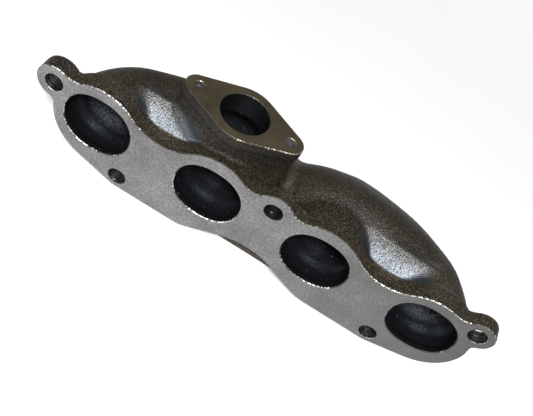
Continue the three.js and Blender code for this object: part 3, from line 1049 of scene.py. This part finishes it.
def bore_material():
    """The walls of the gas passages: black scale with pale crumbs, and a painted light patch on the far
    walls of the outer ports' bends.
    """
    nodes = Nodes("passage_scale")
    grain = nodes.noise(500, 4, 0.6)
    x, y, _ = nodes.axes()
    # painted light: a pale patch deep in ports 1 and 4, where light falls on the bend's far wall
    painted_light_patch = nodes.product(
        nodes.ramp(grain, 0.35, 0.60),
        nodes.ramp(nodes.away(x), 0.122, 0.140),
        nodes.ramp(y, 0.023, 0.031),
        nodes.ramp(y, 0.035, 0.043, 1, 0),
    )
    colour = nodes.mix(painted_light_patch, (0.005, 0.0055, 0.0065), (0.058, 0.064, 0.078))
    nodes.paint("Base Color", nodes.mix(nodes.ramp(grain, 0.68, 0.74), colour, (0.16, 0.17, 0.18)))
    nodes.paint("Roughness", nodes.ramp(nodes.noise(70, 4), 0.3, 0.7, 0.34, 0.50))
    nodes.fix("Specular IOR Level", 0.15)
    nodes.fix("Specular Tint", (0.80, 0.90, 1.0, 1.0))
    coarse = nodes.bump(nodes.noise(130, 3, 0.6), 0.0006)
    nodes.paint("Normal", nodes.bump(grain, 0.0004, coarse))
    return nodes.material


def drilled_material(name, closeness, dark, pale, metallic):
    """Drilled walls. closeness draws the drill's rings together along the axis of the holes."""
    nodes = Nodes(name)
    rings = nodes.noise(40, 3, 0.6, place=nodes.stretched(closeness))
    nodes.paint("Base Color", nodes.mix(nodes.ramp(rings, 0.3, 0.7), (dark,) * 3, (pale,) * 3))
    nodes.fix("Metallic", metallic)
    nodes.fix("Roughness", 0.24)
    nodes.paint("Normal", nodes.bump(rings, 0.0007))
    return nodes.material


def head_face_material():
    """The milled face that seals on the cylinder head: pale and stained, with painted shade that
    darkens it toward port 4.
    """
    nodes = Nodes("milled_head_face")
    stains = nodes.ramp(nodes.noise(24, 6, 0.7, 0.3), 0.38, 0.68)
    colour = nodes.mix(stains, (0.235, 0.235, 0.24), (0.125, 0.123, 0.118))
    # painted shade: the face grows darker toward port 4, in place of light falling off across it
    painted_shade_toward_port_4 = nodes.ramp(nodes.axes()[X], 0.02, 0.19, 0, 0.8)
    colour = nodes.mix(painted_shade_toward_port_4, colour, (0.05, 0.049, 0.046))
    mottle = nodes.ramp(nodes.noise(480, 3, 0.8), 0.42, 0.58, 0, 0.65)
    nodes.paint("Base Color", nodes.mix(mottle, colour, (0.075, 0.074, 0.072)))
    nodes.fix("Metallic", 0.35)
    scores = nodes.noise(30, 4, 0.7, place=nodes.stretched((8, 8, 90)))
    nodes.paint("Roughness", nodes.ramp(scores, 0.3, 0.7, 0.42, 0.58))
    nodes.paint("Normal", nodes.bump(mottle, 0.0001, nodes.bump(scores, 0.00006)))
    return nodes.material


def outlet_face_material():
    """The machined faces of the wastegate and the turbo: milled metal given a dark brown base colour as
    a painted reflection of dark surroundings.
    """
    nodes = Nodes("outlet_face_painted_reflection")
    reflection_mottle = nodes.ramp(nodes.noise(45, 5, 0.6, 0.5), 0.35, 0.7)
    # painted reflection: the dark brown colours stand in for dark surroundings mirrored in the milled
    # face
    nodes.paint("Base Color", nodes.mix(reflection_mottle, (0.075, 0.060, 0.034), (0.040, 0.032, 0.018)))
    nodes.fix("Metallic", 0.3)
    scores = nodes.noise(40, 4, 0.7, place=nodes.stretched((60, 4, 4)))
    nodes.paint("Roughness", nodes.ramp(scores, 0.3, 0.7, 0.30, 0.48))
    nodes.paint("Normal", nodes.bump(scores, 0.00005))
    return nodes.material


def edge_material(name, dull, bright, from_share, to_share):
    """An edge that the tool broke: bright in stretches, dull between them."""
    nodes = Nodes(name)
    stretches = nodes.ramp(nodes.noise(16, 2, 0.5), 0.42, 0.56, 0.25, -0.08)
    chips = nodes.math("SUBTRACT", nodes.noise(520, 3, 0.6), stretches)
    shine = nodes.ramp(chips, from_share, to_share)
    nodes.paint("Base Color", nodes.mix(shine, dull, bright))
    nodes.fix("Metallic", 0.6)
    nodes.paint("Roughness", nodes.ramp(shine, 0, 1, 0.5, 0.25))
    nodes.paint("Normal", nodes.bump(nodes.noise(600, 3), 0.0006))
    return nodes.material


def floor_material():
    """Pale, matt, very slightly uneven studio paper, which fades into the backdrop."""
    nodes = Nodes("studio_paper")
    mottle = nodes.ramp(nodes.noise(2, 3), 0.3, 0.7)
    nodes.paint("Base Color", nodes.mix(mottle, (0.86, 0.86, 0.86), (0.89, 0.89, 0.89)))
    nodes.fix("Roughness", 0.9)
    nodes.paint("Alpha", nodes.ramp(nodes.from_origin(), *FLOOR_FADE, 1, 0))
    return nodes.material


def all_materials():
    """Every material of the casting, by a short name."""
    # the outlet edges are tinted brown, as the outlet faces are
    bright, brownish = (0.6, 0.6, 0.6), (0.38, 0.35, 0.27)
    return {
        "cast": cast_material(),
        "bore": bore_material(),
        "head": head_face_material(),
        "head_edge": edge_material("broken_bright_edge", (0.05, 0.048, 0.04), bright, 0.52, 0.66),
        "head_hole": drilled_material("drilled_stud_hole", (1, 25, 1), 0.025, 0.12, 0.9),
        "outlet": outlet_face_material(),
        "outlet_edge": edge_material("brownish_outlet_edge", (0.05, 0.042, 0.03), brownish, 0.38, 0.52),
        "outlet_hole": drilled_material("drilled_bolt_hole", (1, 1, 25), 0.08, 0.40, 0.7),
    }


# ---- The object ----


def section_mesh(skin, name, low, high):
    """One section: its share of the skin, and of the machined plate that it carries, if any."""
    parts = [skin_part(combined(skin.copy(), block(low, high), "INTERSECT"), low, high)]
    carried = plated(name)
    if carried:
        whole_plate, toward, face = carried
        space = block((low[X], -FAR, -FAR), (high[X], FAR, FAR))
        share = combined(whole_plate().copy(), space, "INTERSECT")
        parts.append(plate_part(share, toward, face))
    return joined(parts)


casting_skin = skin_mesh()
materials = all_materials()
for name, (low, high) in section_spaces().items():
    piece = bpy.data.objects.new(f"{name}_iron", section_mesh(casting_skin, name, low, high))
    bpy.context.scene.collection.objects.link(piece)
    finish = "outlet" if name.startswith(("wastegate", "turbo")) else "head"
    for material in ("cast", "bore", f"{finish}_hole", finish, f"{finish}_edge"):
        piece.data.materials.append(materials[material])
    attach(piece, "root")
    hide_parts(name)

# ---- Stage, camera and light ----


def stage_floor(height):
    """A floor under the part, as a flat sheet."""
    half = FLOOR_SPAN / 2
    corners = [(-half, -half, 0), (half, -half, 0), (half, half, 0), (-half, half, 0)]
    mesh = bpy.data.meshes.new("floor")
    mesh.from_pydata(corners, [], [(0, 1, 2, 3)])
    floor = bpy.data.objects.new("floor", mesh)
    floor.location.z = height
    mesh.materials.append(floor_material())
    bpy.context.scene.collection.objects.link(floor)


def add_camera():
    """The camera of the main picture, fitted to the perspective of the reference."""
    camera = bpy.data.objects.new("camera", bpy.data.cameras.new("camera"))
    right, up = Vector(CAMERA_RIGHT), Vector(CAMERA_UP)
    turn = Matrix((right, up, right.cross(up))).transposed()
    camera.matrix_world = Matrix.Translation(CAMERA_PLACE) @ turn.to_4x4()
    camera.data.lens = CAMERA_LENS
    camera.data.shift_x, camera.data.shift_y = CAMERA_SHIFT
    camera.data.clip_start = CAMERA_NEAR
    bpy.context.scene.collection.objects.link(camera)
    bpy.context.scene.camera = camera


def add_light(name, place, size, power):
    """A square soft light that looks at the casting."""
    light = bpy.data.objects.new(name, bpy.data.lights.new(name, "AREA"))
    light.data.size = size
    light.data.energy = power
    light.location = place
    light.rotation_mode = "QUATERNION"
    light.rotation_quaternion = (Vector(LIT_POINT) - Vector(place)).to_track_quat("-Z", "Y")
    bpy.context.scene.collection.objects.link(light)


def add_world():
    """A white backdrop, which is weaker as a light than it looks."""
    world = bpy.data.worlds.new("studio")
    world.use_nodes = True
    nodes = world.node_tree.nodes
    background = nodes["Background"]
    background.inputs["Color"].default_value = (1, 1, 1, 1)
    seen = nodes.new("ShaderNodeLightPath").outputs["Is Camera Ray"]
    strength = nodes.new("ShaderNodeMapRange")
    strength.inputs["To Min"].default_value = AMBIENT
    strength.inputs["To Max"].default_value = BACKDROP
    world.node_tree.links.new(seen, strength.inputs["Value"])
    world.node_tree.links.new(strength.outputs["Result"], background.inputs["Strength"])
    bpy.context.scene.world = world


stage_floor(cad_bounds[0][Z] - FLOOR_GAP)
add_camera()
for name, (place, size, power) in LIGHTS.items():
    add_light(name, place, size, power)
add_world()
bpy.context.scene.view_settings.view_transform = "Standard"
